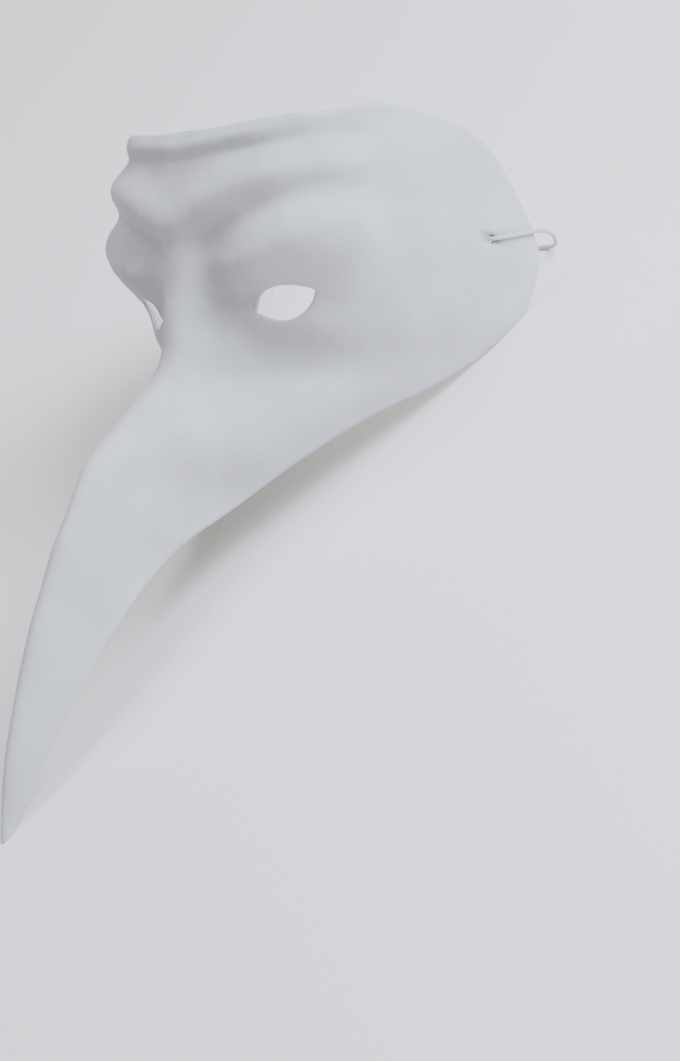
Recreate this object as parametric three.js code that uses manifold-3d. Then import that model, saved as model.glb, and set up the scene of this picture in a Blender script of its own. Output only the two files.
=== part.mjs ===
// Beaked carnival half mask, white papier-mache, with a thin elastic cord, lying at rest.
//
// The mask is shaped in its wearer's frame first: forward is out of the face, left is the
// wearer's left and up runs to the crown, with up = 0 at the eyes. It is then tipped back,
// so that it lies on the two cheek rims and on the beak's tip, as it lies on a table.
// Lengths are millimetres, and +Z is up from the table.

import * as THREE from 'three';
import { mergeVertices } from 'three/addons/utils/BufferGeometryUtils.js';
import Module from 'manifold-3d';

// Driving sizes
const WALL = 2.0; // thickness of the moulded paper
const TIP_BACK = 45.5; // degrees that the face is tipped back where it lies
const FLOOR_LEVEL = -2.6; // height of the table before the mask is set on z = 0
const CENTRE_FORWARD = 122.4; // middle of the lying mask's length before it is centred
const ROWS_FACE = 27; // rows of facets from the top rim to the beak's root
const ROWS_BEAK = 14; // rows of facets down the beak
const COLUMNS = 19; // columns of facets on each side of the middle
const BEAK_ROOT = 7; // station at which the beak leaves the face
const TROUGH_FADE = [14.0, 16.3]; // stations over which the beak's trough runs out to a solid tip
const TROUGH_BLEND = [9.5, 11.5]; // stations over which the lining changes to the trough's own section
const TROUGH_ROOF = 1.35; // thickness over the beak's ridge, in walls
const TROUGH_NARROW = 0.35; // least width of the trough, as a share of the beak's
const NOSE_POWER = 2.6; // how squarely the nose stands out of the face
const CORD_HOLE = { row: 3.1, column: 0.903, radius: 1.75 };
const CORD_HOLE_FACETS = 20;
const EYE_STEPS = 14; // facets along each lip of an eye hole
const EYE_REACH = [5, -7]; // how far the eye cutters reach out of the face and in
const CORD = 1.6; // diameter of the elastic
const CORD_FACETS = 8;
const CORD_STEPS = 78;
const KNOT = { width: 4.6, centre: [-125.63, 72.05, 33.82] }; // the left stopper knot, inside the cheek
const KNOT_FACETS = [12, 8];
const TABLE = { length: 500, width: 300, thickness: 40 }; // cuts the small flats

// Route of the elastic on the left side: out of its hole, back over the cheek, off the rim
// and down to the table
const CORD_SIDE = [
  [-125.95, 74.83, 33.71],
  [-126.79, 76.52, 33.19],
  [-127.73, 77.63, 32.57],
  [-129.01, 78.08, 31.69],
  [-131.4, 78.25, 30.0],
  [-136.3, 78.45, 26.6],
  [-141.2, 78.55, 23.2],
  [-146.2, 78.5, 19.7],
  [-150.3, 77.9, 16.0],
  [-153.3, 76.4, 12.0],
  [-155.3, 74.0, 7.9],
  [-156.8, 70.8, 4.3],
  [-158.2, 66.6, 1.9],
  [-159.3, 61.5, 0.95],
];

// Its slack on the table between the cheeks
const CORD_SLACK = [
  [-159.0, 54.0, 0.85],
  [-155.0, 45.0, 0.85],
  [-146.0, 37.5, 0.85],
  [-134.0, 31.5, 0.85],
  [-123.0, 23.0, 0.85],
  [-116.5, 10.0, 0.85],
  [-117.0, -5.0, 0.85],
  [-124.5, -18.5, 0.85],
  [-136.5, -28.5, 0.85],
  [-148.5, -37.0, 0.85],
  [-156.5, -46.5, 0.85],
  [-159.5, -55.0, 0.85],
];

// Cross-sections from the top rim to the beak's tip. Each runs from the ridge in the middle
// to a point of the rim at the side.
const STATIONS = [
  { ridge: [105.5, 65.5], rim: [25.6, 71.6, 65.7], nose: [0, 12], flat: 0, full: 2.5, arch: 7.5 },
  { ridge: [108, 56], rim: [15.8, 73.6, 58.5], nose: [0, 12], flat: 0, full: 2.5, arch: 5.5 },
  { ridge: [110, 44], rim: [4.1, 75.5, 43.5], nose: [0, 12], flat: 0, full: 2.5, arch: 3.5 },
  { ridge: [111.5, 31], rim: [-6.5, 77.5, 23], nose: [1, 11], flat: 0, full: 2.5, arch: 2 },
  { ridge: [110, 17], rim: [-5.6, 77.2, 9], nose: [6, 11], flat: 0, full: 2.5, arch: 1 },
  { ridge: [110, 3], rim: [1, 75.5, -5], nose: [12, 11], flat: 0, full: 2.5, arch: 0 },
  { ridge: [113.5, -12], rim: [14, 71, -17], nose: [18, 12], flat: 0.05, full: 2.35, arch: 0 },
  { ridge: [118.2, -26], rim: [34, 64.5, -30], nose: [25, 13.5], flat: 0.15, full: 2.05, arch: 0 },
  { ridge: [131, -39], rim: [58, 53, -42.5], nose: [28, 14], flat: 0.3, full: 2, arch: 0 },
  { ridge: [144, -51], rim: [80, 39, -58.5], nose: [26, 13], flat: 0.45, full: 2, arch: 0 },
  { ridge: [152.5, -61], rim: [100, 23.5, -77], nose: [20, 11], flat: 0.55, full: 2, arch: 0 },
  { ridge: [161, -77], rim: [121.6, 17.6, -91.5], nose: [12, 9], flat: 0.6, full: 2, arch: 0 },
  { ridge: [170.6, -98], rim: [140.6, 14.8, -110], nose: [6, 8], flat: 0.6, full: 2, arch: 0 },
  { ridge: [179, -122], rim: [156.4, 12, -131.5], nose: [3, 7], flat: 0.6, full: 2, arch: 0 },
  { ridge: [186, -147], rim: [169.8, 9, -155], nose: [1.5, 5], flat: 0.6, full: 2, arch: 0 },
  { ridge: [190.5, -169], rim: [180.5, 6.2, -176], nose: [0.8, 3.5], flat: 0.6, full: 2, arch: 0 },
  { ridge: [191.9, -185], rim: [186.5, 3.6, -188.5], nose: [0.4, 2], flat: 0.6, full: 2, arch: 0 },
  { ridge: [192.2, -198], rim: [188.7, 1.6, -198], nose: [0.1, 1], flat: 0.6, full: 2, arch: 0 },
];
const LAST = STATIONS.length - 1;

// How the arch lifts a row, as a share of its height at each tenth of the way from the ridge to
// the rim. The top rim runs level over the brows, rises in a slight wave and rounds off.
const ARCH_STEP = 0.1;
const ARCH_LINE = [0, 0, 0.15, 0.32, 0.46, 0.53, 0.78, 1, 0.98, 0.66, 0];

// The modelled folds of the face. Each runs out from the middle to both sides. Its lists give
// how far up the face its crest is, how high it stands, and how far it spreads above and below
// the crest, at 0, 14, 28, 42, 56 and 70 mm from the middle.
const FOLD_STEP = 14;
const FOLDS = {
  topRoll: {
    crest: [58.5, 59.5, 61, 63.5, 66.5, 69],
    height: [2.3, 2.6, 2.8, 2, 0.8, 0],
    above: [7, 7, 7, 7, 7, 7],
    below: [6, 6, 6, 7, 7, 7],
  },
  forehead: {
    crest: [30.2, 34.2, 40.2, 45.2, 48.5, 49],
    height: [3.6, 5.6, 6.2, 6.6, 5.8, 2],
    above: [20, 18, 16, 14, 14, 14],
    below: [9, 11, 13, 14, 15, 15],
  },
  brow: {
    crest: [7, 10, 15.5, 21.5, 26.5, 29],
    height: [0, 4.2, 9.2, 10.4, 9.2, 3],
    above: [14, 14, 15, 17, 18, 18],
    below: [15, 16, 19, 25, 30, 28],
  },
  underEye: {
    crest: [-4, -9, -17, -20, -20, -19],
    height: [0, -1.5, -2.2, -2, -1, -0.2],
    above: [14, 15, 14, 13, 12, 12],
    below: [12, 15, 17, 17, 16, 15],
  },
};
const FOLD_FADE = [62, 73]; // distances from the middle over which all of them run out
const BRIDGE = { high: 3.2, reach: 14, rise: [-20, 0], fall: [24, 42] }; // top of the nose
const SOCKET = { deep: 2, side: 16, up: 6, radius: 14 }; // hollow beside the nose

// Corners of an eye hole as [row, column]. Each lip's bow has a size in rows, and one power
// each for how it leaves the inner and the outer corner.
const EYE = {
  inner: [5.477, 0.188],
  outer: [4.843, 0.398],
  upper: { bow: -1.135, inner: 0.4, outer: 0.89 },
  lower: { bow: 1.702, inner: 1.135, outer: 0.608 },
};

// Each size as one list along the stations, for the curves through them
const LISTS = {
  ridgeForward: STATIONS.map((s) => s.ridge[0]),
  ridgeUp: STATIONS.map((s) => s.ridge[1]),
  rimForward: STATIONS.map((s) => s.rim[0]),
  rimLeft: STATIONS.map((s) => s.rim[1]),
  rimUp: STATIONS.map((s) => s.rim[2]),
  noseHeight: STATIONS.map((s) => s.nose[0]),
  noseWidth: STATIONS.map((s) => s.nose[1]),
  flat: STATIONS.map((s) => s.flat),
  full: STATIONS.map((s) => s.full),
  arch: STATIONS.map((s) => s.arch),
};

const clamp = (x, low, high) => Math.min(Math.max(x, low), high);

// 0 below the first limit, 1 above the second, and an even S between them
function smooth(low, high, x) {
  const u = clamp((x - low) / (high - low), 0, 1);
  return u * u * (3 - 2 * u);
}

// A bell of height 1 that is 0 beyond the half width
function bell(x, centre, half) {
  return Math.cos((clamp(Math.abs(x - centre) / half, 0, 1) * Math.PI) / 2) ** 2;
}

// A smooth curve through evenly spaced values, held at its end. One that starts level runs on
// smoothly into its mirror image.
function curve(values, x, startsLevel = false) {
  const last = values.length - 1;
  const i = clamp(Math.floor(x), 0, last - 1);
  const u = clamp(x - i, 0, 1);
  const slope = (k) => {
    if (k === 0) return startsLevel ? 0 : values[1] - values[0];
    if (k === last) return values[last] - values[last - 1];
    return (values[k + 1] - values[k - 1]) / 2;
  };
  return (
    (2 * u ** 3 - 3 * u ** 2 + 1) * values[i] +
    (u ** 3 - 2 * u ** 2 + u) * slope(i) +
    (3 * u ** 2 - 2 * u ** 3) * values[i + 1] +
    (u ** 3 - u ** 2) * slope(i + 1)
  );
}

// A point of the plain shape: column -1 is the right rim, 0 the ridge and 1 the left rim.
// An inset makes the same section smaller all round, for the inside of the beak.
function section(row, column, inset = 0) {
  const at = {};
  for (const key of Object.keys(LISTS)) at[key] = curve(LISTS[key], row);
  let depth = Math.hypot(at.rimForward - at.ridgeForward, at.rimUp - at.ridgeUp);
  const forward = (at.rimForward - at.ridgeForward) / depth;
  const up = (at.rimUp - at.ridgeUp) / depth;
  let width = at.rimLeft;
  let noseHeight = at.noseHeight;
  let noseWidth = at.noseWidth;
  if (inset > 0) {
    const trough = (depth - TROUGH_ROOF * inset) * (1 - smooth(...TROUGH_FADE, row));
    const narrow = Math.max(width - inset, TROUGH_NARROW * width);
    noseHeight *= trough / depth;
    noseWidth *= narrow / width;
    depth = trough;
    width = narrow;
  }
  const t = Math.abs(column);
  const angle = (t * Math.PI) / 2;
  const power = 2 / at.full;
  const side = (1 - at.flat) * Math.sin(angle) ** power + at.flat * t;
  const round = 1 - Math.max(Math.cos(angle), 0) ** power;
  const back = (1 - at.flat) * round + at.flat * t * t;
  const share = clamp(noseHeight / Math.max(depth, 1e-6), 0, 0.95);
  const nose = (y) => 1 - 1 / (1 + (y / Math.max(noseWidth, 0.5)) ** NOSE_POWER);
  const drop = depth * ((share * nose(width * side)) / nose(width) + (1 - share) * back);
  return new THREE.Vector3(
    at.rimForward - forward * (depth - drop),
    Math.sign(column) * width * side,
    at.rimUp - up * (depth - drop) + at.arch * curve(ARCH_LINE, t / ARCH_STEP, true),
  );
}

// Height of the modelled folds over the plain shape
function relief(point) {
  const side = Math.abs(point.y);
  const up = point.z;
  let height = 0;
  for (const fold of Object.values(FOLDS)) {
    const at = (values) => curve(values, side / FOLD_STEP, true);
    const crest = at(fold.crest);
    height += at(fold.height) * bell(up, crest, at(up > crest ? fold.above : fold.below));
  }
  const { high, reach, rise, fall } = BRIDGE;
  height += high * (1 - smooth(0, reach, side)) * smooth(...rise, up) * (1 - smooth(...fall, up));
  const away = Math.hypot(side - SOCKET.side, up - SOCKET.up);
  height -= SOCKET.deep * bell(away, 0, SOCKET.radius);
  return height * (1 - smooth(...FOLD_FADE, side));
}

// Unit vector out of a surface, found from its neighbouring points
function normalOf(surface, row, column) {
  const step = 1e-3;
  const r = clamp(row, step, LAST - step);
  const c = clamp(column, -1 + step, 1 - step);
  const down = surface(r + step, c).sub(surface(r - step, c));
  const across = surface(r, c + step).sub(surface(r, c - step));
  return down.cross(across).normalize();
}

const plain = (row, column) => section(row, column);

function outside(row, column) {
  const point = plain(row, column);
  return point.addScaledVector(normalOf(plain, row, column), relief(point));
}

function lining(row, column) {
  const even = outside(row, column).addScaledVector(normalOf(outside, row, column), -WALL);
  const trough = section(row, column, WALL);
  return even.lerp(trough, smooth(...TROUGH_BLEND, row));
}

// Rows are closer together on the face, and columns closer together near the middle
const rows = [];
for (let i = 0; i < ROWS_FACE; i += 1) rows.push((BEAK_ROOT * i) / ROWS_FACE);
for (let i = 0; i <= ROWS_BEAK; i += 1) rows.push(BEAK_ROOT + ((LAST - BEAK_ROOT) * i) / ROWS_BEAK);
const columns = [];
for (let j = -COLUMNS; j <= COLUMNS; j += 1) {
  const k = Math.abs(j) / COLUMNS;
  columns.push(Math.sign(j) * (0.55 * k + 0.45 * k * k));
}

// The closed solid of outside, lining and the cut edge all round
function shellGeometry() {
  const positions = [];
  for (const surface of [outside, lining]) {
    for (const row of rows) {
      for (const column of columns) positions.push(...surface(row, column).toArray());
    }
  }
  const wide = columns.length;
  const layer = rows.length * wide;
  const id = (side, i, j) => side * layer + i * wide + j;
  const index = [];
  const quad = (a, b, c, d) => index.push(a, b, c, a, c, d);
  for (let i = 0; i + 1 < rows.length; i += 1) {
    for (let j = 0; j + 1 < wide; j += 1) {
      const corners = (s) => [id(s, i, j), id(s, i + 1, j), id(s, i + 1, j + 1), id(s, i, j + 1)];
      // the diagonals of the right half mirror those of the left half
      const turn = j < COLUMNS ? 0 : 1;
      const front = corners(0);
      const back = corners(1).reverse();
      quad(...front.slice(turn), ...front.slice(0, turn));
      quad(...back.slice(1 - turn), ...back.slice(0, 1 - turn));
    }
  }
  for (let j = 0; j + 1 < wide; j += 1) {
    quad(id(0, 0, j + 1), id(1, 0, j + 1), id(1, 0, j), id(0, 0, j));
    const e = rows.length - 1;
    quad(id(0, e, j), id(1, e, j), id(1, e, j + 1), id(0, e, j + 1));
  }
  for (let i = 0; i + 1 < rows.length; i += 1) {
    quad(id(0, i, 0), id(1, i, 0), id(1, i + 1, 0), id(0, i + 1, 0));
    const e = wide - 1;
    quad(id(0, i + 1, e), id(1, i + 1, e), id(1, i, e), id(0, i, e));
  }
  const geometry = new THREE.BufferGeometry();
  geometry.setAttribute('position', new THREE.Float32BufferAttribute(positions, 3));
  geometry.setIndex(index);
  return geometry;
}

// The almond of an eye hole on the grid: upper and lower lips from the inner corner (x = 0)
// to the outer corner (x = 1)
function eyeOutline(steps) {
  const point = (k, { bow, inner, outer }) => {
    const x = (1 - Math.cos((Math.PI * k) / steps)) / 2;
    return [
      THREE.MathUtils.lerp(EYE.inner[0], EYE.outer[0], x) + bow * x ** inner * (1 - x) ** outer,
      THREE.MathUtils.lerp(EYE.inner[1], EYE.outer[1], x),
    ];
  };
  const outline = [];
  for (let k = 0; k < steps; k += 1) outline.push(point(k, EYE.lower));
  for (let k = steps; k > 0; k -= 1) outline.push(point(k, EYE.upper));
  return outline;
}

// A cutter through the wall, square to it all round the outline
function eyeCutter(sign) {
  const outline = eyeOutline(EYE_STEPS);
  const positions = [];
  for (const reach of EYE_REACH) {
    for (const [row, column] of outline) {
      const point = outside(row, sign * column);
      point.addScaledVector(normalOf(outside, row, sign * column), reach);
      positions.push(...point.toArray());
    }
  }
  const n = outline.length;
  const index = [];
  for (let k = 0; k < n; k += 1) {
    const next = (k + 1) % n;
    index.push(k, next, n + next, k, n + next, n + k);
  }
  // the ends are closed by strips between the two lips
  const cap = (a, b, c) => index.push(c, b, a, n + a, n + b, n + c);
  for (let k = 0; k < n / 2; k += 1) {
    if (k < n / 2 - 1) cap(k, k + 1, n - k - 1);
    if (k > 0) cap(k, n - k - 1, n - k);
  }
  if (sign > 0) index.reverse();
  const geometry = new THREE.BufferGeometry();
  geometry.setAttribute('position', new THREE.Float32BufferAttribute(positions, 3));
  geometry.setIndex(index);
  return geometry;
}

const wasm = await Module();
wasm.setup();

function toSolid(geometry) {
  const clean = geometry.clone();
  clean.deleteAttribute('normal');
  clean.deleteAttribute('uv');
  const merged = mergeVertices(clean, 1e-5);
  return new wasm.Manifold(
    new wasm.Mesh({
      numProp: 3,
      vertProperties: new Float32Array(merged.attributes.position.array),
      triVerts: new Uint32Array(merged.index.array),
    }),
  );
}

function toGeometry(solid) {
  const mesh = solid.getMesh();
  const geometry = new THREE.BufferGeometry();
  geometry.setAttribute('position', new THREE.BufferAttribute(new Float32Array(mesh.vertProperties), 3));
  geometry.setIndex(new THREE.BufferAttribute(new Uint32Array(mesh.triVerts), 1));
  geometry.computeVertexNormals();
  return geometry;
}

// From the wearer's frame to where the mask lies
const lay = new THREE.Matrix4()
  .makeTranslation(-CENTRE_FORWARD, 0, -FLOOR_LEVEL)
  .multiply(new THREE.Matrix4().makeRotationY(THREE.MathUtils.degToRad(-TIP_BACK)));

function maskShell() {
  let solid = toSolid(shellGeometry().applyMatrix4(lay));
  for (const sign of [-1, 1]) {
    solid = solid.subtract(toSolid(eyeCutter(sign).applyMatrix4(lay)));
    const { radius } = CORD_HOLE;
    const hole = new THREE.CylinderGeometry(radius, radius, 6 * WALL, CORD_HOLE_FACETS);
    const column = sign * CORD_HOLE.column;
    const out = normalOf(outside, CORD_HOLE.row, column);
    hole.applyQuaternion(new THREE.Quaternion().setFromUnitVectors(new THREE.Vector3(0, 1, 0), out));
    hole.translate(...outside(CORD_HOLE.row, column).toArray());
    solid = solid.subtract(toSolid(hole.applyMatrix4(lay)));
  }
  // small flats where the rims and the tip rest
  const table = new THREE.BoxGeometry(TABLE.length, TABLE.width, TABLE.thickness);
  table.translate(0, 0, -TABLE.thickness / 2);
  solid = solid.subtract(toSolid(table));
  return toGeometry(solid);
}

const mirrored = ([x, y, z]) => [x, -y, z];

// The elastic follows its route from one knot to the other
function elasticCord() {
  const route = [...CORD_SIDE, ...CORD_SLACK, ...[...CORD_SIDE].reverse().map(mirrored)];
  const path = new THREE.CatmullRomCurve3(route.map((point) => new THREE.Vector3(...point)));
  const corners = [];
  for (let k = 0; k < CORD_FACETS; k += 1) {
    const angle = ((k + 0.5) * 2 * Math.PI) / CORD_FACETS;
    corners.push(new THREE.Vector2(Math.cos(angle), Math.sin(angle)).multiplyScalar(CORD / 2));
  }
  return new THREE.ExtrudeGeometry(new THREE.Shape(corners), {
    steps: CORD_STEPS,
    bevelEnabled: false,
    extrudePath: path,
  });
}

const paper = new THREE.MeshStandardMaterial({ color: 0xe4e5ea, roughness: 0.75, metalness: 0 });
const elastic = new THREE.MeshStandardMaterial({ color: 0xf0f0ee, roughness: 0.85, metalness: 0 });

const mask = new THREE.Group();

function addPiece(name, geometry, material, place = [0, 0, 0]) {
  const mesh = new THREE.Mesh(geometry, material);
  mesh.name = name;
  mesh.position.set(...place);
  mask.add(mesh);
}

const knot = new THREE.SphereGeometry(KNOT.width / 2, ...KNOT_FACETS);
addPiece('mask_shell', maskShell(), paper);
addPiece('elastic_cord', elasticCord(), elastic);
addPiece('elastic_knot_left', knot, elastic, KNOT.centre);
addPiece('elastic_knot_right', knot, elastic, mirrored(KNOT.centre));

export default mask;
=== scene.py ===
"""Beaked carnival half mask of white papier-mache, lying on its cheek rims and its beak's tip.

The mask is shaped in its wearer's frame, in millimetres: forward is out of the face, left is
the wearer's left, and up runs to the crown from the level of the eyes. It is then tipped
back to where it lies and made in metres.
"""
import math

import bpy
import bmesh
import numpy as np
from mathutils import Matrix, Vector


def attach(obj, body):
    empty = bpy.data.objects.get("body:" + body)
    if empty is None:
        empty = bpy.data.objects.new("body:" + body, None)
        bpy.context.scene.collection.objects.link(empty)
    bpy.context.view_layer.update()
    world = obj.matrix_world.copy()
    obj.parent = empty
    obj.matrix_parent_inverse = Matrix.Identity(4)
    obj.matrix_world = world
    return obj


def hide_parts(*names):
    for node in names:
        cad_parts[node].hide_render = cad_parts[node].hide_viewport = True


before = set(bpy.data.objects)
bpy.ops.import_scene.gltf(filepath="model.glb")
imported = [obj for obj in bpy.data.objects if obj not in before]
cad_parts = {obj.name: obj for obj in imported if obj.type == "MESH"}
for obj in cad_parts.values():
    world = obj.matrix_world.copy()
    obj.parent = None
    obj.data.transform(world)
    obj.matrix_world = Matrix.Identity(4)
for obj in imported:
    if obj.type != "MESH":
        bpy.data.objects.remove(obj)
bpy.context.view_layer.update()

# Driving sizes in millimetres, the same as in the solid model
MM = 0.001  # one of them in metres
WALL = 2.0  # thickness of the moulded paper
TIP_BACK = math.radians(45.5)  # how far the face is tipped back where it lies
FLOOR_LEVEL = -2.6  # height of the table before the mask is set on z = 0
CENTRE_FORWARD = 122.4  # middle of the lying mask's length before it is centred
TROUGH_FADE = (14.0, 16.3)  # stations over which the beak's trough runs out to a solid tip
TROUGH_BLEND = (9.5, 11.5)  # stations over which the lining changes to the trough's own section
TROUGH_ROOF = 1.35  # thickness over the beak's ridge, in walls
TROUGH_NARROW = 0.35  # least width of the trough, as a share of the beak's
NOSE_POWER = 2.6  # how squarely the nose stands out of the face
NOSE_LEAST = 0.5  # least half width of the nose, near the beak's tip
HOLE_ROW, HOLE_COLUMN, HOLE_RADIUS = 3.1, 0.903, 1.75  # place and size of a cord hole
CORD = 1.6  # diameter of the elastic
KNOT_CENTRE = (-125.63, 72.05, 33.82)  # the left stopper knot, inside the cheek

# Cross-sections from the top rim to the beak's tip, as in the solid model: the ridge
# (forward, up), the rim (forward, left, up), the nose (height, half width), how flat and how
# full the section is, and the arch of the row
STATIONS = np.array([
    [105.5, 65.5, 25.6, 71.6, 65.7, 0.0, 12.0, 0.0, 2.5, 7.5],
    [108.0, 56.0, 15.8, 73.6, 58.5, 0.0, 12.0, 0.0, 2.5, 5.5],
    [110.0, 44.0, 4.1, 75.5, 43.5, 0.0, 12.0, 0.0, 2.5, 3.5],
    [111.5, 31.0, -6.5, 77.5, 23.0, 1.0, 11.0, 0.0, 2.5, 2.0],
    [110.0, 17.0, -5.6, 77.2, 9.0, 6.0, 11.0, 0.0, 2.5, 1.0],
    [110.0, 3.0, 1.0, 75.5, -5.0, 12.0, 11.0, 0.0, 2.5, 0.0],
    [113.5, -12.0, 14.0, 71.0, -17.0, 18.0, 12.0, 0.05, 2.35, 0.0],
    [118.2, -26.0, 34.0, 64.5, -30.0, 25.0, 13.5, 0.15, 2.05, 0.0],
    [131.0, -39.0, 58.0, 53.0, -42.5, 28.0, 14.0, 0.3, 2.0, 0.0],
    [144.0, -51.0, 80.0, 39.0, -58.5, 26.0, 13.0, 0.45, 2.0, 0.0],
    [152.5, -61.0, 100.0, 23.5, -77.0, 20.0, 11.0, 0.55, 2.0, 0.0],
    [161.0, -77.0, 121.6, 17.6, -91.5, 12.0, 9.0, 0.6, 2.0, 0.0],
    [170.6, -98.0, 140.6, 14.8, -110.0, 6.0, 8.0, 0.6, 2.0, 0.0],
    [179.0, -122.0, 156.4, 12.0, -131.5, 3.0, 7.0, 0.6, 2.0, 0.0],
    [186.0, -147.0, 169.8, 9.0, -155.0, 1.5, 5.0, 0.6, 2.0, 0.0],
    [190.5, -169.0, 180.5, 6.2, -176.0, 0.8, 3.5, 0.6, 2.0, 0.0],
    [191.9, -185.0, 186.5, 3.6, -188.5, 0.4, 2.0, 0.6, 2.0, 0.0],
    [192.2, -198.0, 188.7, 1.6, -198.0, 0.1, 1.0, 0.6, 2.0, 0.0],
])
LAST = len(STATIONS) - 1

# How the arch lifts a row, as a share of its height at each tenth of the way to the rim
ARCH_STEP = 0.1
ARCH_LINE = [0.0, 0.0, 0.15, 0.32, 0.46, 0.53, 0.78, 1.0, 0.98, 0.66, 0.0]

# The modelled folds of the face, as in the solid model: how far up the face the crest is, how
# high it stands, and how far it spreads above and below, at each FOLD_STEP from the middle
FOLD_STEP = 14.0
FOLDS = {
    "top_roll": {
        "crest": [58.5, 59.5, 61.0, 63.5, 66.5, 69.0],
        "height": [2.3, 2.6, 2.8, 2.0, 0.8, 0.0],
        "above": [7.0, 7.0, 7.0, 7.0, 7.0, 7.0],
        "below": [6.0, 6.0, 6.0, 7.0, 7.0, 7.0],
    },
    "forehead": {
        "crest": [30.2, 34.2, 40.2, 45.2, 48.5, 49.0],
        "height": [3.6, 5.6, 6.2, 6.6, 5.8, 2.0],
        "above": [20.0, 18.0, 16.0, 14.0, 14.0, 14.0],
        "below": [9.0, 11.0, 13.0, 14.0, 15.0, 15.0],
    },
    "brow": {
        "crest": [7.0, 10.0, 15.5, 21.5, 26.5, 29.0],
        "height": [0.0, 4.2, 9.2, 10.4, 9.2, 3.0],
        "above": [14.0, 14.0, 15.0, 17.0, 18.0, 18.0],
        "below": [15.0, 16.0, 19.0, 25.0, 30.0, 28.0],
    },
    "under_eye": {
        "crest": [-4.0, -9.0, -17.0, -20.0, -20.0, -19.0],
        "height": [0.0, -1.5, -2.2, -2.0, -1.0, -0.2],
        "above": [14.0, 15.0, 14.0, 13.0, 12.0, 12.0],
        "below": [12.0, 15.0, 17.0, 17.0, 16.0, 15.0],
    },
}
FOLD_FADE = (62.0, 73.0)  # distances from the middle over which all of them run out

# The top of the nose: its height, how far it reaches to each side, and where it rises and falls
# up the face. The hollow beside it: its depth, its middle to the side and up, and its radius.
BRIDGE_HIGH, BRIDGE_REACH, BRIDGE_RISE, BRIDGE_FALL = 3.2, 14.0, (-20.0, 0.0), (24.0, 42.0)
SOCKET_DEEP, SOCKET_SIDE, SOCKET_UP, SOCKET_RADIUS = 2.0, 16.0, 6.0, 14.0

# The corners of an eye hole as (row, column), and the bow of each lip: its size in rows, and one
# power each for how it leaves the inner and the outer corner
EYE_INNER = (5.477, 0.188)
EYE_OUTER = (4.843, 0.398)
UPPER_LIP = (-1.135, 0.4, 0.89)
LOWER_LIP = (1.702, 1.135, 0.608)


def smooth(low, high, x):
    """0 below low, 1 above high, and an even S between them."""
    u = np.clip((x - low) / (high - low), 0, 1)
    return u * u * (3 - 2 * u)


def bell(x, centre, half):
    """A bell of height 1 that is 0 beyond the half width: the square of a cosine."""
    return np.cos(np.clip(np.abs(x - centre) / half, 0, 1) * np.pi / 2) ** 2


def curve(values, x, starts_level=False):
    """A smooth curve through evenly spaced values, held at its end: Hermite cubics whose slopes are
    half the step between the two neighbours. One that starts level runs on into its mirror image."""
    values = np.asarray(values, float)
    slope = np.gradient(values, axis=0)
    if starts_level:
        slope[0] = 0
    last = len(values) - 1
    i = np.clip(np.floor(x).astype(int), 0, last - 1)
    u = np.clip(x - i, 0, 1).reshape(x.shape + (1,) * (values.ndim - 1))
    return (
        (2 * u**3 - 3 * u**2 + 1) * values[i]
        + (u**3 - 2 * u**2 + u) * slope[i]
        + (3 * u**2 - 2 * u**3) * values[i + 1]
        + (u**3 - u**2) * slope[i + 1]
    )


def plain(row, column, inset=0.0):
    """The plain shape at a row and a column, where -1 is the right rim, 0 the ridge and 1 the left.
    Each section mixes a squared ellipse with a parabola and adds a bell for the nose. An inset
    makes the section smaller all round, for the inside of the beak, and fades out at the tip."""
    sizes = np.moveaxis(curve(STATIONS, np.asarray(row, float)), -1, 0)
    ridge_f, ridge_u, rim_f, rim_l, rim_u, nose_high, nose_wide, flat, full, arch = sizes
    depth = np.hypot(rim_f - ridge_f, rim_u - ridge_u)
    forward = (rim_f - ridge_f) / depth
    up = (rim_u - ridge_u) / depth
    width = rim_l
    if inset > 0:
        trough = (depth - TROUGH_ROOF * inset) * (1 - smooth(*TROUGH_FADE, row))
        narrow = np.maximum(width - inset, TROUGH_NARROW * width)
        nose_high = nose_high * trough / depth
        nose_wide = nose_wide * narrow / width
        depth = trough
        width = narrow
    t = np.abs(column)
    angle = t * np.pi / 2
    power = 2 / full
    side = (1 - flat) * np.sin(angle) ** power + flat * t
    back = (1 - flat) * (1 - np.maximum(np.cos(angle), 0) ** power) + flat * t * t
    share = np.clip(nose_high / np.maximum(depth, 1e-6), 0, 0.95)
    nose, nose_end = (
        1 - 1 / (1 + (y / np.maximum(nose_wide, NOSE_LEAST)) ** NOSE_POWER) for y in (width * side, width)
    )
    rise = depth * (1 - share * nose / nose_end - (1 - share) * back)
    lift = arch * curve(ARCH_LINE, t / ARCH_STEP, True)
    return np.stack([rim_f - forward * rise, np.sign(column) * width * side, rim_u - up * rise + lift], -1)


def relief(point):
    """Height of the modelled folds over the plain shape: a bell across the crest of each fold, with
    the bridge of the nose and the hollow beside it, all fading out before the side rims."""
    side = np.abs(point[..., 1])
    up = point[..., 2]
    height = np.zeros_like(side)
    for fold in FOLDS.values():
        at = {name: curve(values, side / FOLD_STEP, True) for name, values in fold.items()}
        spread = np.where(up > at["crest"], at["above"], at["below"])
        height += at["height"] * bell(up, at["crest"], spread)
    bridge = (1 - smooth(0, BRIDGE_REACH, side)) * smooth(*BRIDGE_RISE, up) * (1 - smooth(*BRIDGE_FALL, up))
    away = np.hypot(side - SOCKET_SIDE, up - SOCKET_UP)
    height += BRIDGE_HIGH * bridge - SOCKET_DEEP * bell(away, 0, SOCKET_RADIUS)
    return height * (1 - smooth(*FOLD_FADE, side))


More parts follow.
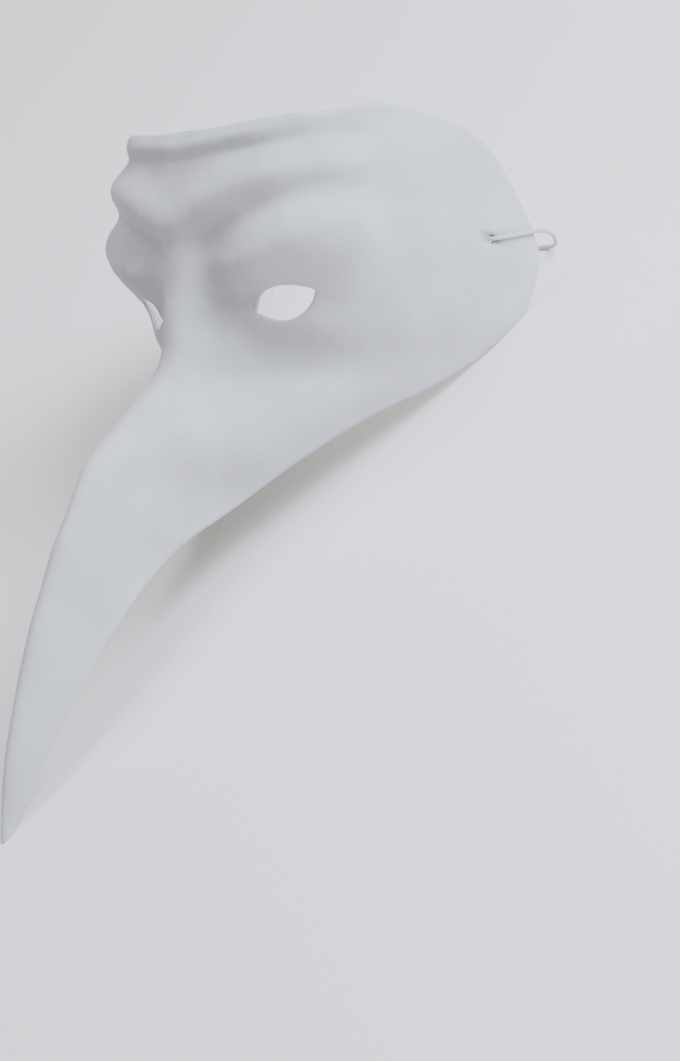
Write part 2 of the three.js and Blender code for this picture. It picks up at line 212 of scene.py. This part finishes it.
def slopes(surface, row, column, step=1e-3):
    """The two slopes of a surface, in millimetres for one row and one column."""
    r = np.clip(row, step, LAST - step)
    c = np.clip(column, step - 1, 1 - step)
    down = (surface(r + step, c) - surface(r - step, c)) / (2 * step)
    across = (surface(r, c + step) - surface(r, c - step)) / (2 * step)
    return down, across


def unit(vectors):
    return vectors / np.maximum(np.linalg.norm(vectors, axis=-1, keepdims=True), 1e-9)


def normal_of(surface, row, column):
    return unit(np.cross(*slopes(surface, row, column)))


def outside(row, column):
    point = plain(row, column)
    return point + normal_of(plain, row, column) * relief(point)[..., None]


def lining(row, column):
    even = outside(row, column) - WALL * normal_of(outside, row, column)
    trough = plain(row, column, WALL)
    share = smooth(*TROUGH_BLEND, row)[..., None]
    return (1 - share) * even + share * trough


def lay(point):
    """From the wearer's frame to where the mask lies, still in millimetres."""
    forward, left, up = point[..., 0], point[..., 1], point[..., 2]
    ahead = forward * math.cos(TIP_BACK) - up * math.sin(TIP_BACK) - CENTRE_FORWARD
    high = forward * math.sin(TIP_BACK) + up * math.cos(TIP_BACK) - FLOOR_LEVEL
    return np.stack([ahead, left, high], -1)


def turn(direction):
    """A direction of the wearer's frame, turned to where the mask lies."""
    return Vector(lay(np.array(direction, float)) - lay(np.zeros(3)))


# Camera

# The photograph is taken from the wearer's front left, level with the middle of the beak. Its
# width and height are in its own pixels, and the lens is the one that gives the mask its size.
PHOTO = (680, 1061)
PHOTO_LENS = 3246.0  # focal length in those pixels
VIEW_TURN = math.radians(47.0)  # from straight ahead to the wearer's left
VIEW_DISTANCE = 1300.0  # from the middle of the wearer's frame
VIEW_SIDE = -18.87  # how far the camera is moved to its own right
VIEW_UP = -86.0  # and up


def make_camera():
    """The camera keeps its place and turn relative to the mask's face, so in the lying frame it
    looks down and is rolled."""
    back = np.array([math.cos(VIEW_TURN), math.sin(VIEW_TURN), 0.0])
    right = np.array([-math.sin(VIEW_TURN), math.cos(VIEW_TURN), 0.0])
    place = back * VIEW_DISTANCE + right * VIEW_SIDE + np.array([0.0, 0.0, VIEW_UP])
    data = bpy.data.cameras.new("camera")
    data.sensor_width = 36.0
    data.lens = PHOTO_LENS / PHOTO[1] * data.sensor_width
    data.clip_end = 20.0
    camera = bpy.data.objects.new("camera", data)
    bpy.context.scene.collection.objects.link(camera)
    turned = Matrix((turn(right), turn((0, 0, 1)), turn(back))).transposed().to_4x4()
    turned.translation = Vector(lay(place) * MM)
    camera.matrix_world = turned
    bpy.context.scene.camera = camera


make_camera()


# Elastic cord

# The cord's route in millimetres: out of the left hole, back over the cheek, off the rim and
# down to the table, then its slack between the cheeks, and up again on the right side
CORD_SIDE = [
    (-125.95, 74.83, 33.71),
    (-126.79, 76.52, 33.19),
    (-127.73, 77.63, 32.57),
    (-129.01, 78.08, 31.69),
    (-131.4, 78.25, 30.0),
    (-136.3, 78.45, 26.6),
    (-141.2, 78.55, 23.2),
    (-146.2, 78.5, 19.7),
    (-150.3, 77.9, 16.0),
    (-153.3, 76.4, 12.0),
    (-155.3, 74.0, 7.9),
    (-156.8, 70.8, 4.3),
    (-158.2, 66.6, 1.9),
    (-159.3, 61.5, 0.95),
]
CORD_SLACK = [
    (-159.0, 54.0, 0.85),
    (-155.0, 45.0, 0.85),
    (-146.0, 37.5, 0.85),
    (-134.0, 31.5, 0.85),
    (-123.0, 23.0, 0.85),
    (-116.5, 10.0, 0.85),
    (-117.0, -5.0, 0.85),
    (-124.5, -18.5, 0.85),
    (-136.5, -28.5, 0.85),
    (-148.5, -37.0, 0.85),
    (-156.5, -46.5, 0.85),
    (-159.5, -55.0, 0.85),
]


def mirrored(points):
    return [(x, -y, z) for x, y, z in points]


def smooth_path(points, spacing, between=60):
    """Points at an even spacing on a centripetal spline through the given points. The spline is
    first worked out at so many points between two given ones, and then measured off."""
    given = np.array(points, float)
    ends = np.vstack([2 * given[0] - given[1], given, 2 * given[-1] - given[-2]])
    found = []
    for k in range(len(given) - 1):
        a, b, c, d = ends[k : k + 4]
        before, here, after = (max(math.sqrt(math.dist(*pair)), 1e-4) for pair in ((a, b), (b, c), (c, d)))
        leave = ((b - a) / before - (c - a) / (before + here) + (c - b) / here) * here
        arrive = ((c - b) / here - (d - b) / (here + after) + (d - c) / after) * here
        u = np.linspace(0, 1, between, endpoint=False)[:, None]
        found.append(
            (2 * u**3 - 3 * u**2 + 1) * b
            + (u**3 - 2 * u**2 + u) * leave
            + (3 * u**2 - 2 * u**3) * c
            + (u**3 - u**2) * arrive
        )
    fine = np.vstack(found + [given[-1:]])
    along = np.concatenate([[0], np.cumsum(np.linalg.norm(np.diff(fine, axis=0), axis=1))])
    even = np.linspace(0, along[-1], int(along[-1] / spacing) + 1)
    return np.stack([np.interp(even, along, fine[:, k]) for k in range(3)], -1)


def path_frames(path):
    """Two unit vectors square to the path at each point, carried along without twisting."""
    tangent = unit(np.gradient(path, axis=0))
    side = np.cross(tangent[0], [0.0, 0.0, 1.0])
    sides = []
    for t in tangent:
        side = side - np.dot(side, t) * t
        side = side / np.linalg.norm(side)
        sides.append(side)
    sides = np.array(sides)
    return sides, np.cross(tangent, sides)


def tube(path, around, radius_at):
    """Vertices and faces of a closed tube; radius_at gives the radius for arrays of the length
    along the path, in millimetres, and the angle round it."""
    side, rise = path_frames(path)
    along = np.concatenate([[0], np.cumsum(np.linalg.norm(np.diff(path, axis=0), axis=1))])
    angle = np.arange(around) * 2 * np.pi / around
    s, a = np.meshgrid(along, angle, indexing="ij")
    radius = radius_at(s, a)[..., None]
    ring = np.cos(a)[..., None] * side[:, None] + np.sin(a)[..., None] * rise[:, None]
    points = (path[:, None] + radius * ring).reshape(-1, 3)
    i, j = np.meshgrid(np.arange(len(path) - 1), np.arange(around), indexing="ij")
    here, next_round = i * around + j, i * around + (j + 1) % around
    faces = np.stack([here, next_round, next_round + around, here + around], -1).reshape(-1, 4).tolist()
    faces.append(list(range(around))[::-1])
    faces.append([(len(path) - 1) * around + k for k in range(around)])
    return points, faces


def add_mesh(name, points, faces, materials):
    """A smooth mesh object at the origin, from points in millimetres where they lie."""
    data = bpy.data.meshes.new(name)
    data.from_pydata((np.asarray(points) * MM).tolist(), [], faces)
    data.update()
    for material in materials:
        data.materials.append(material)
    data.polygons.foreach_set("use_smooth", [True] * len(data.polygons))
    piece = bpy.data.objects.new(name, data)
    bpy.context.scene.collection.objects.link(piece)
    return piece


# Materials


def linear(colour):
    """A hex sRGB colour as linear red, green, blue and alpha."""
    channels = [int(colour[k : k + 2], 16) / 255 for k in (1, 3, 5)]
    return [c / 12.92 if c <= 0.04045 else ((c + 0.055) / 1.055) ** 2.4 for c in channels] + [1.0]


def add_node(material, kind, values=(), **settings):
    """Adds a node, sets its properties, and sets or links its inputs."""
    tree = material.node_tree
    node = tree.nodes.new(kind)
    for key, value in settings.items():
        setattr(node, key, value)
    for key, value in dict(values).items():
        if isinstance(value, bpy.types.NodeSocket):
            tree.links.new(value, node.inputs[key])
        else:
            node.inputs[key].default_value = value
    return node


def new_material(name):
    material = bpy.data.materials.new(name)
    material.use_nodes = True
    return material, material.node_tree.nodes["Principled BSDF"]


def noise(material, size, detail=3.0, roughness=0.5, stretch=(1, 1, 1), distortion=0.0, output="Fac"):
    """Noise on the piece's own coordinates, whose largest waves are size millimetres long."""
    where = add_node(material, "ShaderNodeTexCoord")
    spread = add_node(
        material, "ShaderNodeMapping", {"Vector": where.outputs["Object"], "Scale": stretch}
    )
    values = {
        "Vector": spread.outputs["Vector"],
        "Scale": 1 / (size * MM),
        "Detail": detail,
        "Roughness": roughness,
        "Distortion": distortion,
    }
    return add_node(material, "ShaderNodeTexNoise", values).outputs[output]


def scaled(material, value, low, high, to_low, to_high):
    """A value moved from one range to another, and held at its ends."""
    values = {"Value": value, "From Min": low, "From Max": high, "To Min": to_low, "To Max": to_high}
    return add_node(material, "ShaderNodeMapRange", values).outputs["Result"]


def mixed(material, share, first, second):
    """A colour between two others."""
    mix = add_node(material, "ShaderNodeMix", data_type="RGBA")
    for socket, value in ((mix.inputs[0], share), (mix.inputs[6], first), (mix.inputs[7], second)):
        if isinstance(value, bpy.types.NodeSocket):
            material.node_tree.links.new(value, socket)
        else:
            socket.default_value = value
    return mix.outputs[2]


def bumped(material, height, deep, strength, under=None):
    """A bump that is deep millimetres high where height is 1, on top of another if there is one."""
    values = {"Height": height, "Distance": deep * MM, "Strength": strength}
    if under is not None:
        values["Normal"] = under
    return add_node(material, "ShaderNodeBump", values).outputs["Normal"]


def gesso():
    """White gesso brushed over papier-mache: matt, faintly uneven, with a fine chalky grain. The
    coats differ by blotches of 26 mm and a few specks of 1 mm. Pulp shows through as soft dents of
    7 mm, under brush marks 2.4 mm long and a fifth as wide, and chalk grains of 0.4 mm."""
    material, shader = new_material("white_gesso")
    blotches = scaled(material, noise(material, 26.3, 4), 0.35, 0.68, 0.0, 1.0)
    white = mixed(material, blotches, linear("#bcbcc1"), linear("#c7c8cd"))
    specks = scaled(material, noise(material, 1.11, 2), 0.66, 0.78, 0.0, 0.35)
    white = mixed(material, specks, white, linear("#b4b5b8"))
    pulp = bumped(material, noise(material, 6.67, 5, 0.6), 0.35, 0.5)
    brushed = bumped(material, noise(material, 2.38, 3, 0.5, (1, 5, 1), 0.4), 0.08, 0.6, pulp)
    grain = bumped(material, noise(material, 0.385, 2), 0.03, 0.7, brushed)
    roughness = scaled(material, noise(material, 11.1, 3), 0.3, 0.7, 0.62, 0.78)
    material.node_tree.links.new(white, shader.inputs["Base Color"])
    material.node_tree.links.new(roughness, shader.inputs["Roughness"])
    material.node_tree.links.new(grain, shader.inputs["Normal"])
    shader.inputs["Specular IOR Level"].default_value = 0.35
    return material


def raw_paper():
    """The unpainted lining: torn scraps of pasted paper, greyer and warmer than the gesso. The scraps
    are 24 mm across, and noise moves their edges by up to 18 mm, as if they were torn. Each has its
    own tone and its own height of up to 0.25 mm, with pulp and fibres over them."""
    material, shader = new_material("pasted_paper_lining")
    where = add_node(material, "ShaderNodeTexCoord")
    scrap, tear = 23.8 * MM, 18.0 * MM
    wander = {0: noise(material, 14.3, output="Color"), 1: (tear, tear, tear)}
    torn = add_node(material, "ShaderNodeVectorMath", wander, operation="MULTIPLY")
    both = {0: where.outputs["Object"], 1: torn.outputs["Vector"]}
    moved = add_node(material, "ShaderNodeVectorMath", both, operation="ADD")
    pieces = {"Vector": moved.outputs["Vector"], "Scale": 1 / scrap}
    scraps = add_node(material, "ShaderNodeTexVoronoi", pieces)
    tones = add_node(material, "ShaderNodeSeparateColor", {"Color": scraps.outputs["Color"]})
    shade = mixed(material, tones.outputs[0], linear("#c9c6bd"), linear("#d9d7d0"))
    pulp = bumped(material, noise(material, 4.17, 6, 0.65), 0.4, 0.6)
    edges = bumped(material, tones.outputs[1], 0.25, 0.8, pulp)
    fibres = bumped(material, noise(material, 0.667, 3, 0.6, (1, 3, 1)), 0.06, 0.8, edges)
    material.node_tree.links.new(shade, shader.inputs["Base Color"])
    material.node_tree.links.new(fibres, shader.inputs["Normal"])
    shader.inputs["Roughness"].default_value = 0.88
    shader.inputs["Specular IOR Level"].default_value = 0.2
    return material


def white_elastic():
    """Thin white elastic with a braided polyester cover: matt, with a slight sheen and a tint that
    changes about every 1.25 mm."""
    material, shader = new_material("white_elastic")
    tint = mixed(material, noise(material, 1.25, 2), linear("#bebdba"), linear("#cccbc8"))
    material.node_tree.links.new(tint, shader.inputs["Base Color"])
    shader.inputs["Roughness"].default_value = 0.7
    shader.inputs["Sheen Weight"].default_value = 0.25
    return material


# The mask's shell

ROWS_ABOVE = 92  # rows of cells from the top rim to the eyes
ROWS_BELOW = 110  # and from the eyes to the beak's tip
ROWS_CROWDED = 0.55  # how much closer together the latter are near the eyes
COLUMNS = 100  # columns of cells on each side of the middle
COLUMNS_CROWDED = 0.4  # how much closer together they are near the middle
EDGE = 0.95  # how far the rounding of the cut edge reaches in from the rim
EDGE_ROOM = (0.45, 0.95)  # columns over which the grid is drawn in to leave room for it
EDGE_STEPS = 5  # lines of vertices round the edge
EYE_ROUNDING = 0.55  # how far the rounded edge of an eye hole stands into the hole
HOLE_ROUNDING = 0.25  # the same for a cord hole
HOLE_BLOCK = (4, 3)  # rows and columns of cells on each side of a cord hole that make way for it

# The hand-made surface, in millimetres. Waves are given by their height and their length.
LAYER_WAVES = (0.18, 22.0)  # unevenness of the pasted layers
GESSO_WAVES = (0.07, 8.0)  # unevenness of the gesso brushed over them
STRIP_STEP = 0.22  # thickness of the paper strip folded over the rim
STRIP_END = (3.2, 3.8)  # where the strip ends, measured from the rim
STRIP_WAVES = (0.35, 9.0)  # how its end wanders
RIM_CALM = (-0.25, 0.95)  # distances from the rim's rounding over which the surface becomes even
BEAK_CALM = (11.0, 15.5)  # stations over which the beak becomes more even
BEAK_SHARE = 0.4  # share of the unevenness that is left at its tip


def eye_lips(column):
    """The rows of the upper and the lower lip of the eye hole at a column. They meet at both corners
    and stay together beyond them."""
    share = (np.abs(column) - EYE_INNER[1]) / (EYE_OUTER[1] - EYE_INNER[1])
    x = np.clip(share, 0, 1)
    line = EYE_INNER[0] + (EYE_OUTER[0] - EYE_INNER[0]) * x
    return [line + bow * x**inner * (1 - x) ** outer for bow, inner, outer in (UPPER_LIP, LOWER_LIP)]


def shell_columns():
    """Columns from the right rim to the left, closer together near the middle. Two on each side are
    moved onto the eye's corners."""
    k = np.arange(COLUMNS + 1) / COLUMNS
    half = (1 - COLUMNS_CROWDED) * k + COLUMNS_CROWDED * k * k
    for corner in (EYE_INNER[1], EYE_OUTER[1]):
        half[np.argmin(np.abs(half - corner))] = corner
    return np.concatenate([-half[:0:-1], half])


def shell_grid():
    """Row and column of every vertex. The upper lips of the eyes are one row of vertices and the
    lower lips are the next. The outermost lines stop short of the rim, for its rounding."""
    columns = shell_columns()
    upper, lower = eye_lips(columns)
    top_slope = np.linalg.norm(slopes(outside, np.zeros_like(columns), columns)[0], axis=-1)
    top = EDGE / top_slope
    s = np.linspace(0, 1, ROWS_ABOVE + 1)[:, None]
    t = np.linspace(0, 1, ROWS_BELOW + 1)[:, None]
    above = top + (upper - top) * s
    below = lower + (LAST - lower) * ((1 - ROWS_CROWDED) * t + ROWS_CROWDED * t * t)
    row = np.vstack([above, below])
    side_slope = np.linalg.norm(slopes(outside, row[:, -1], np.ones(len(row)))[1], axis=-1)
    short = (EDGE / side_slope)[:, None] * smooth(*EDGE_ROOM, np.abs(columns))
    return row, columns * (1 - short)


def wobble(point, waves, seed):
    """A smooth random unevenness: the sum of 12 plane waves in random directions, of lengths round the
    given one, over 3.5, which is about the root of their number."""
    height, length = waves
    rng = np.random.default_rng(seed)
    total = np.zeros(point.shape[:-1])
    for _ in range(12):
        direction = unit(rng.normal(size=3)) / (length * rng.uniform(0.7, 1.5))
        total += np.sin(2 * np.pi * (point @ direction + rng.uniform()))
    return height * total / 3.5


def rim_distance(points):
    """Distance of each vertex from the top and the side rims, measured along the grid, in mm."""
    down = np.linalg.norm(np.diff(points, axis=0), axis=-1)
    from_top = np.vstack([np.zeros(points.shape[1]), np.cumsum(down, axis=0)])
    across = np.linalg.norm(np.diff(points, axis=1), axis=-1)
    from_right = np.hstack([np.zeros((len(points), 1)), np.cumsum(across, axis=1)])
    from_left = from_right[:, -1:] - from_right
    return np.minimum(from_top, np.minimum(from_left, from_right)) + EDGE


def hand_finish(point, rim, row):
    """Height of the hand-made surface: slow unevenness of the layers, and a strip of paper folded
    over the rim, which ends in a faint step."""
    height = wobble(point, LAYER_WAVES, 1) + wobble(point, GESSO_WAVES, 2)
    height += STRIP_STEP * (1 - smooth(*STRIP_END, rim + wobble(point, STRIP_WAVES, 3)))
    share = 1 - (1 - BEAK_SHARE) * smooth(*BEAK_CALM, row)
    return height * share * smooth(*RIM_CALM, rim - EDGE)


class ShellBuilder:
    """Collects the vertices and faces of the shell. A face's material is 0 outside and on the cut
    edges, and 1 on the lining."""

    def __init__(self):
        self.points = []
        self.faces = []
        self.material = []
        self.count = 0

    def add_points(self, points):
        """Adds an array of points and returns their numbers in the same layout."""
        number = self.count + np.arange(points[..., 0].size).reshape(points.shape[:-1])
        self.points.append(points.reshape(-1, 3))
        self.count += number.size
        return number

    def add_faces(self, faces, material=0):
        self.faces.extend(np.asarray(faces).reshape(-1, 4).tolist())
        self.material.extend([material] * (len(self.faces) - len(self.material)))

    def all_points(self):
        return np.concatenate(self.points)

    def edge_band(self, outer, inner, bulge):
        """A rounded edge between two closed loops of vertices, half an ellipse across. The bulge
        points away from the sheet, which is on the left of the loop seen from outside."""
        points = self.all_points()
        o, i = points[outer], points[inner]
        tangent = unit(np.roll(o, -1, axis=0) - np.roll(o, 1, axis=0))
        away = unit(np.cross(tangent, o - i))
        reach = np.minimum(bulge, 0.5 * np.linalg.norm(o - i, axis=-1))[:, None]
        angle = np.linspace(0, np.pi, EDGE_STEPS + 2)[1:-1, None, None]
        rounded = (o + i) / 2 + (o - i) / 2 * np.cos(angle) + away * reach * np.sin(angle)
        lines = np.vstack([outer[None], self.add_points(rounded), inner[None]])
        here, ahead = lines, np.roll(lines, -1, axis=1)
        self.add_faces(np.stack([here[:-1], here[1:], ahead[1:], ahead[:-1]], -1))


def block_loop(numbers, rows, columns):
    """The numbers round the border of a block of the grid, in order, down the first column first.
    A vertex that two rows share comes once."""
    (r0, r1), (c0, c1) = rows, columns
    loop = np.concatenate([
        numbers[r0:r1, c0],
        numbers[r1, c0:c1],
        numbers[r1:r0:-1, c1],
        numbers[r0, c1:c0:-1],
    ])
    return loop[loop != np.roll(loop, 1)]


def circle_on(surface, start, around):
    """Rows and columns of a circle on a surface about the cord hole. Each point lies in the
    direction of the matching point of around."""
    down, across = slopes(surface, *start)
    first = unit(down)
    second = unit(across - np.dot(across, first) * first)
    centre = surface(*start)
    arm = around - centre
    angle = np.arctan2(arm @ second, arm @ first)
    wanted = HOLE_RADIUS * np.stack([np.cos(angle), np.sin(angle)])
    basis = np.array([[down @ first, across @ first], [down @ second, across @ second]])
    steps = np.linalg.solve(basis, wanted)
    return start[0] + steps[0], start[1] + steps[1]


def grid_faces(numbers, keep, flip):
    """Quads of a grid of vertex numbers where keep is true, all turned one way."""
    quads = np.stack([numbers[:-1, :-1], numbers[1:, :-1], numbers[1:, 1:], numbers[:-1, 1:]], -1)[keep]
    return quads[:, ::-1] if flip else quads


def cord_hole(builder, row, column, numbers, keep, sign):
    """Cuts a round hole out of the grid: a block of cells makes way for a ring of quads to a
    circle, on both faces, and a rounded edge joins them. keep is changed."""
    start = (np.array(HOLE_ROW), np.array(sign * HOLE_COLUMN))
    shown = np.linalg.norm(outside(row, column) - outside(*start), axis=-1)
    r, c = np.unravel_index(np.argmin(shown), shown.shape)
    high, wide = HOLE_BLOCK
    rows, columns = (r - high, r + high), (c - wide, c + wide)
    keep[rows[0] : rows[1], columns[0] : columns[1]] = False
    outer_loop = block_loop(numbers[0], rows, columns)
    around = builder.all_points()[outer_loop]
    circle = circle_on(outside, start, around)
    rings = []
    for surface, grid, flip in ((outside, numbers[0], False), (lining, numbers[1], True)):
        loop = block_loop(grid, rows, columns)
        ring = builder.add_points(surface(*circle))
        quads = np.stack([loop, np.roll(loop, -1), np.roll(ring, -1), ring], -1)
        builder.add_faces(quads if flip else quads[:, ::-1], int(flip))
        rings.append(ring)
    builder.edge_band(rings[0], rings[1], HOLE_ROUNDING)


def shell_mesh():
    """The whole closed shell, in the wearer's frame."""
    row, column = shell_grid()
    builder = ShellBuilder()
    face = outside(row, column)
    rim = rim_distance(face)
    face = face + normal_of(outside, row, column) * hand_finish(face, rim, row)[..., None]
    back = lining(row, column)
    lip = ROWS_ABOVE
    closed = row[lip] == row[lip + 1]
    numbers = []
    for points in (face, back):
        grid = builder.add_points(points)
        grid[lip + 1, closed] = grid[lip, closed]
        numbers.append(grid)
    keep = np.ones((len(row) - 1, row.shape[1] - 1), bool)
    keep[lip] = False
    for sign in (-1, 1):
        cord_hole(builder, row, column, numbers, keep, sign)
    builder.add_faces(grid_faces(numbers[0], keep, False), 0)
    builder.add_faces(grid_faces(numbers[1], keep, True), 1)
    # the rim runs round the whole grid, and each eye's loop round its two lips
    whole = ((0, len(row) - 1), (0, row.shape[1] - 1))
    rims = [block_loop(grid, *whole) for grid in numbers]
    builder.edge_band(rims[0], rims[1], EDGE)
    middle = row.shape[1] // 2
    for part in (slice(0, middle), slice(middle, None)):
        opened = np.flatnonzero(~closed[part]) + (part.start or 0)
        first, last = opened[0] - 1, opened[-1] + 1
        loops = []
        for grid in numbers:
            upper = grid[lip, first : last + 1]
            lower = grid[lip + 1, first + 1 : last]
            loops.append(np.concatenate([upper, lower[::-1]]))
        builder.edge_band(loops[0], loops[1], EYE_ROUNDING)
    return builder


def cut_level(piece):
    """Cuts the piece off level with the table and closes the cuts with small flats."""
    mesh = bmesh.new()
    mesh.from_mesh(piece.data)
    bmesh.ops.delete(mesh, geom=[v for v in mesh.verts if not v.link_faces], context="VERTS")
    everything = mesh.verts[:] + mesh.edges[:] + mesh.faces[:]
    cut = bmesh.ops.bisect_plane(
        mesh, geom=everything, plane_co=(0, 0, 0), plane_no=(0, 0, 1), clear_inner=True, dist=1e-7
    )
    edges = [e for e in cut["geom_cut"] if isinstance(e, bmesh.types.BMEdge)]
    flats = bmesh.ops.edgenet_fill(mesh, edges=edges)["faces"]
    for face in flats:
        face.smooth = False
        face.material_index = 0
        for edge in face.edges:
            edge.smooth = False
    bmesh.ops.recalc_face_normals(mesh, faces=mesh.faces[:])
    mesh.to_mesh(piece.data)
    mesh.free()


def make_shell(materials):
    builder = shell_mesh()
    shell = add_mesh("papier_mache_shell", lay(builder.all_points()), builder.faces, materials)
    shell.data.polygons.foreach_set("material_index", builder.material)
    cut_level(shell)
    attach(shell, "root")
    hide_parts("mask_shell")
    return shell


# The elastic's own sizes, in millimetres
BRAID_STRANDS = 8  # strands that wind each way
BRAID_TURN = 3.0  # length of one turn
BRAID_DEPTH = 0.05  # depth of the grooves between strands, as a share of the radius
CORD_SPACING = 0.3  # length of one ring of faces
CORD_AROUND = 16  # faces round the cord
KNOT_AROUND = 12  # faces round it in a knot
KNOT_PULLED = 0.85  # how much thinner it is pulled there
KNOT_STEPS = 120  # rings of faces in a knot
KNOT_LOOP = 0.62  # a third of the radius of the knot's path
KNOT_RISE = 0.75  # how far the path passes over and under itself


def braid(s, a):
    """Radius of braided elastic: two sets of strands that wind opposite ways, each a row of ridges
    shaped like the upper half of a sine wave."""
    wound = 2 * np.pi * s / BRAID_TURN
    one, other = (np.abs(np.sin(BRAID_STRANDS / 2 * (a + way))) for way in (wound, -wound))
    return CORD / 2 * (1 - BRAID_DEPTH + BRAID_DEPTH * np.maximum(one, other))


def knot_path():
    """A small overhand knot: a trefoil wound close, pressed flat against the inside of the cheek."""
    t = np.linspace(0, 2 * np.pi, KNOT_STEPS + 1)[:-1]
    x = KNOT_LOOP * (np.sin(t) + 2 * np.sin(2 * t))
    y = KNOT_LOOP * (np.cos(t) - 2 * np.cos(2 * t))
    z = -KNOT_RISE * np.sin(3 * t)
    return np.stack([x, z, y], -1)


def make_elastic(material):
    route = CORD_SIDE + CORD_SLACK + mirrored(CORD_SIDE[::-1])
    path = smooth_path(route, CORD_SPACING)
    points, faces = tube(path, CORD_AROUND, braid)
    cord = add_mesh("elastic_braid", points, faces, [material])
    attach(cord, "root")
    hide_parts("elastic_cord")
    for name, sign in (("left", 1), ("right", -1)):
        loop = (knot_path() + np.array(KNOT_CENTRE)) * np.array([1, sign, 1])
        closed = np.vstack([loop, loop[:1]])
        knot_points, knot_faces = tube(closed, KNOT_AROUND, lambda s, a: KNOT_PULLED * braid(s, a))
        knot = add_mesh("elastic_stopper_" + name, knot_points, knot_faces, [material])
        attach(knot, "root")
        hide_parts("elastic_knot_" + name)


make_shell([gesso(), raw_paper()])
make_elastic(white_elastic())


# Floor and lights

FLOOR_REACH = 6.0  # metres from the middle to each side


def make_floor():
    material, shader = new_material("pale_floor")
    shader.inputs["Base Color"].default_value = linear("#fbf9f5")
    shader.inputs["Roughness"].default_value = 0.9
    corners = [(x * FLOOR_REACH, y * FLOOR_REACH, 0) for x, y in ((-1, -1), (1, -1), (1, 1), (-1, 1))]
    data = bpy.data.meshes.new("floor")
    data.from_pydata(corners, [], [(0, 1, 2, 3)])
    data.materials.append(material)
    floor = bpy.data.objects.new("floor", data)
    bpy.context.scene.collection.objects.link(floor)


def soft_light(name, direction, distance, size, power, colour):
    """A square softbox in a direction of the wearer's frame, turned to the mask. Its distance and
    size are in metres and its power is in watts."""
    data = bpy.data.lights.new(name, "AREA")
    data.size = size
    data.energy = power
    data.color = linear(colour)[:3]
    light = bpy.data.objects.new(name, data)
    bpy.context.scene.collection.objects.link(light)
    away = turn(unit(np.array(direction, float)))
    light.location = away * distance
    light.rotation_euler = away.to_track_quat("Z", "Y").to_euler()


def make_lights():
    world = bpy.data.worlds.new("studio")
    bpy.context.scene.world = world
    world.use_nodes = True
    background = world.node_tree.nodes["Background"]
    background.inputs["Color"].default_value = linear("#fff8ef")
    background.inputs["Strength"].default_value = 0.45
    soft_light("side_softbox", (0.1, 0.75, 0.75), distance=1.6, size=1.0, power=55.0, colour="#e0e9ff")
    soft_light("top_softbox", (0.6, -0.2, 0.8), distance=1.8, size=1.2, power=20.0, colour="#e6edff")


make_floor()
make_lights()
